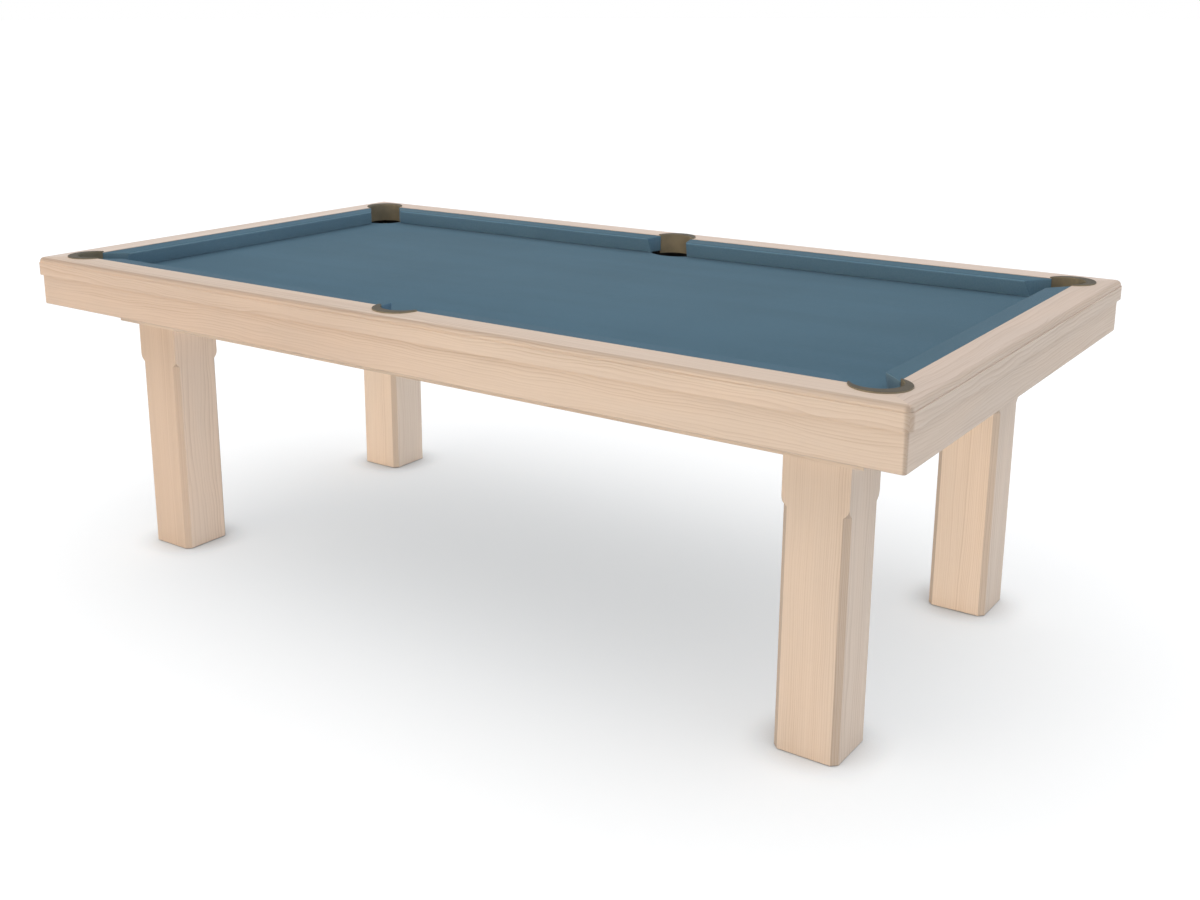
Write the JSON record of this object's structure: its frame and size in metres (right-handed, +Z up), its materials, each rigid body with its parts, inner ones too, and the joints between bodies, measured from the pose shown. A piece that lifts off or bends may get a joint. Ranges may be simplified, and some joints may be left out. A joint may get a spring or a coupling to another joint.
{
  "type": "billiard table",
  "caption": "Pool table with a blue cloth on a slate bed, mitred pale oak rails and aprons, lined pockets with catch cups, and square chamfered legs on screw-down feet.",
  "frame": {"origin": "on the floor, below the middle of the bed", "axes": "+X along the table's length to its right end, +Y to its rear long side, +Z up"},
  "size_m": [2.331, 1.291, 0.785],
  "materials": {
    "oak": "pale, limed, satin lacquer",
    "frame_timber": "planed softwood",
    "backing_wood": "planed hardwood",
    "slate": "honed",
    "bed_cloth": "napped wool cloth, slate blue",
    "cushion": "rubber covered in slate blue cloth",
    "liner": "matt bronze brown",
    "cup": "matt black",
    "foot_plastic": "matt black",
    "zinc_steel": "zinc plated",
    "bracket_steel": "black powder coat"
  },
  "bodies": {
    "table": {"apron_brackets": "bracket_steel", "apron_corner_blocks": "frame_timber", "apron_front": "oak", "apron_left": "oak", "apron_rear": "oak", "apron_right": "oak", "beam_front": "oak", "beam_left": "oak", "beam_rear": "oak", "beam_right": "oak", "bed_cloth": "bed_cloth", "bracket_screws": "zinc_steel", "corner_blocks": "frame_timber", "cross_beam_left": "frame_timber", "cross_beam_right": "frame_timber", "cup_screws": "zinc_steel", "cushion_backings": "backing_wood", "cushion_front_left": "cushion", "cushion_front_right": "cushion", "cushion_left": "cushion", "cushion_rear_left": "cushion", "cushion_rear_right": "cushion", "cushion_right": "cushion", "foot_inserts": "zinc_steel", "leg_bolts": "zinc_steel", "leg_front_left": "oak", "leg_front_right": "oak", "leg_inserts": "zinc_steel", "leg_rear_left": "oak", "leg_rear_right": "oak", "leg_washers": "zinc_steel", "pocket_cup_front_left": "cup", "pocket_cup_front_middle": "cup", "pocket_cup_front_right": "cup", "pocket_cup_rear_left": "cup", "pocket_cup_rear_middle": "cup", "pocket_cup_rear_right": "cup", "pocket_liner_front_left": "liner", "pocket_liner_front_middle": "liner", "pocket_liner_front_right": "liner", "pocket_liner_rear_left": "liner", "pocket_liner_rear_middle": "liner", "pocket_liner_rear_right": "liner", "rail_bolts": "zinc_steel", "rail_front": "oak", "rail_left": "oak", "rail_rear": "oak", "rail_right": "oak", "slate_left": "slate", "slate_middle": "slate", "slate_right": "slate", "slate_screws": "zinc_steel"},
    "foot_pad_front_left_body": {"foot_pad_front_left": "foot_plastic"},
    "foot_stem_front_left_body": {"foot_stem_front_left": "zinc_steel"},
    "foot_pad_front_right_body": {"foot_pad_front_right": "foot_plastic"},
    "foot_stem_front_right_body": {"foot_stem_front_right": "zinc_steel"},
    "foot_pad_rear_left_body": {"foot_pad_rear_left": "foot_plastic"},
    "foot_stem_rear_left_body": {"foot_stem_rear_left": "zinc_steel"},
    "foot_pad_rear_right_body": {"foot_pad_rear_right": "foot_plastic"},
    "foot_stem_rear_right_body": {"foot_stem_rear_right": "zinc_steel"}
  },
  "joints": [
    {"name": "foot_front_left_extend", "type": "slide", "parent": "table", "child": "foot_pad_front_left_body", "axis": [0, 0, 1], "range_m": [-0.02, 0]},
    {"name": "foot_front_left_turn", "type": "hinge", "parent": "foot_pad_front_left_body", "child": "foot_stem_front_left_body", "pos_m": [-0.928, -0.407, 0.01], "axis": [0, 0, 1], "range_deg": [-3600.1, 0]},
    {"name": "foot_front_right_extend", "type": "slide", "parent": "table", "child": "foot_pad_front_right_body", "axis": [0, 0, 1], "range_m": [-0.02, 0]},
    {"name": "foot_front_right_turn", "type": "hinge", "parent": "foot_pad_front_right_body", "child": "foot_stem_front_right_body", "pos_m": [0.928, -0.407, 0.01], "axis": [0, 0, 1], "range_deg": [-3600.1, 0]},
    {"name": "foot_rear_left_extend", "type": "slide", "parent": "table", "child": "foot_pad_rear_left_body", "axis": [0, 0, 1], "range_m": [-0.02, 0]},
    {"name": "foot_rear_left_turn", "type": "hinge", "parent": "foot_pad_rear_left_body", "child": "foot_stem_rear_left_body", "pos_m": [-0.928, 0.407, 0.01], "axis": [0, 0, 1], "range_deg": [-3600.1, 0]},
    {"name": "foot_rear_right_extend", "type": "slide", "parent": "table", "child": "foot_pad_rear_right_body", "axis": [0, 0, 1], "range_m": [-0.02, 0]},
    {"name": "foot_rear_right_turn", "type": "hinge", "parent": "foot_pad_rear_right_body", "child": "foot_stem_rear_right_body", "pos_m": [0.928, 0.407, 0.01], "axis": [0, 0, 1], "range_deg": [-3600.1, 0]}
  ],
  "couplings": [
    {"joint": "foot_front_left_turn", "follows": "foot_front_left_extend", "rad_per_m": 3141.6},
    {"joint": "foot_front_right_turn", "follows": "foot_front_right_extend", "rad_per_m": 3141.6},
    {"joint": "foot_rear_left_turn", "follows": "foot_rear_left_extend", "rad_per_m": 3141.6},
    {"joint": "foot_rear_right_turn", "follows": "foot_rear_right_extend", "rad_per_m": 3141.6}
  ]
}
